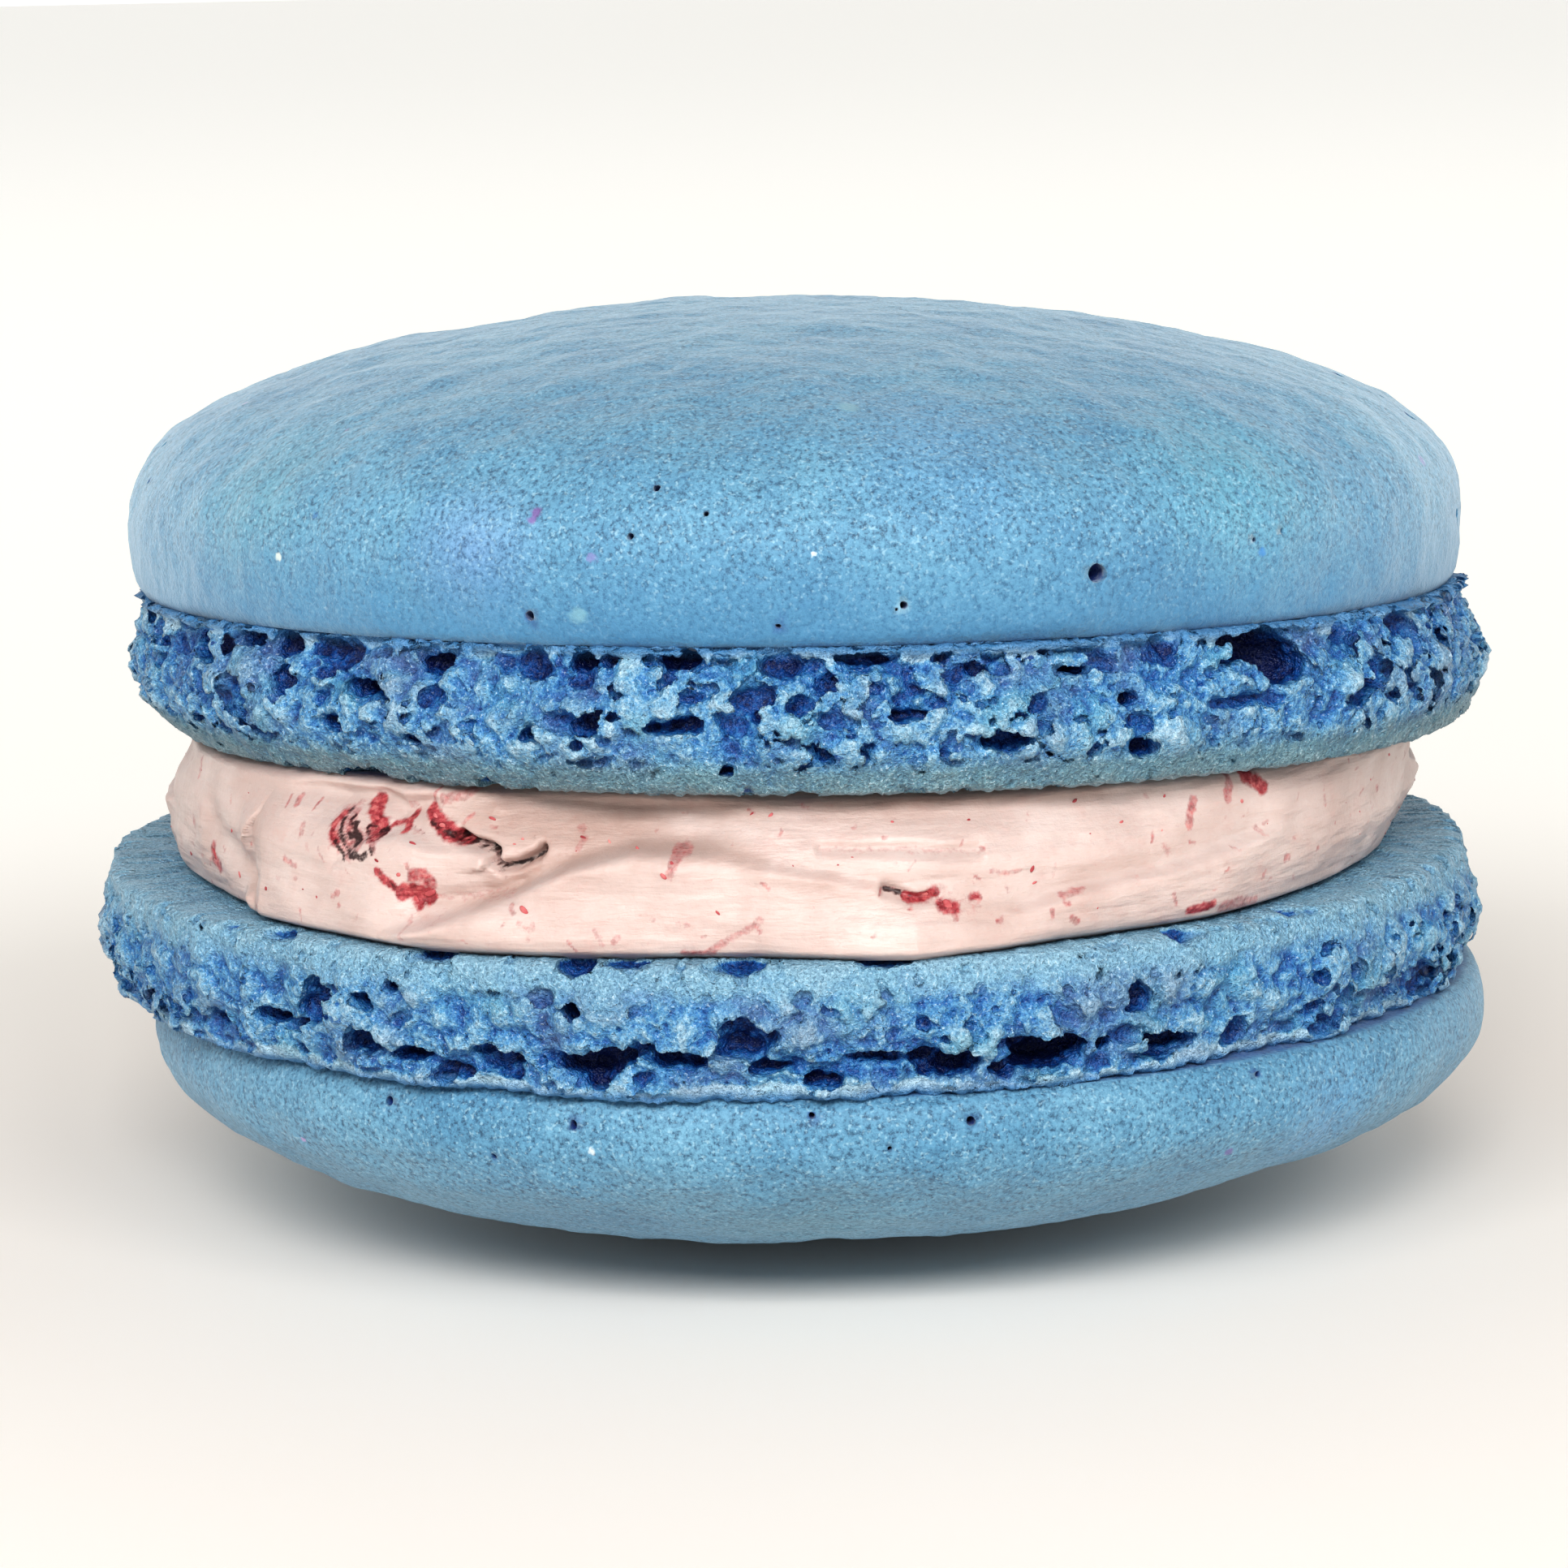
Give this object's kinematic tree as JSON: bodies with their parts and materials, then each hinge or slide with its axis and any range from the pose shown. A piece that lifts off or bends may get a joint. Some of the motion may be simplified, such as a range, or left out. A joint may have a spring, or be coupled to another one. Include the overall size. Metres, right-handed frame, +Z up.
{
  "type": "french macaron",
  "caption": "Blue almond meringue sandwich biscuit: domed smooth shells on rough ruffled feet, with a pale pink cream filling between them.",
  "frame": {"origin": "centre of the bounding box at the level the macaron rests on", "axes": "+Z up through both shells, -Y the side that faces the picture's camera, +X to its right"},
  "size_m": [0.0464, 0.0458, 0.0296],
  "materials": {
    "upper_meringue": "baked almond meringue dyed light blue: a dry, faintly satin dome over an open, crumbly foot",
    "cream": "soft butter cream, pinkish white with dark red berry flecks and streaks, a little moist",
    "lower_meringue": "baked almond meringue dyed light blue: a dry, faintly satin dome under an open, crumbly foot"
  },
  "bodies": {
    "root": {"top_shell": "upper_meringue", "filling": "cream", "bottom_shell": "lower_meringue"}
  },
  "joints": []
}
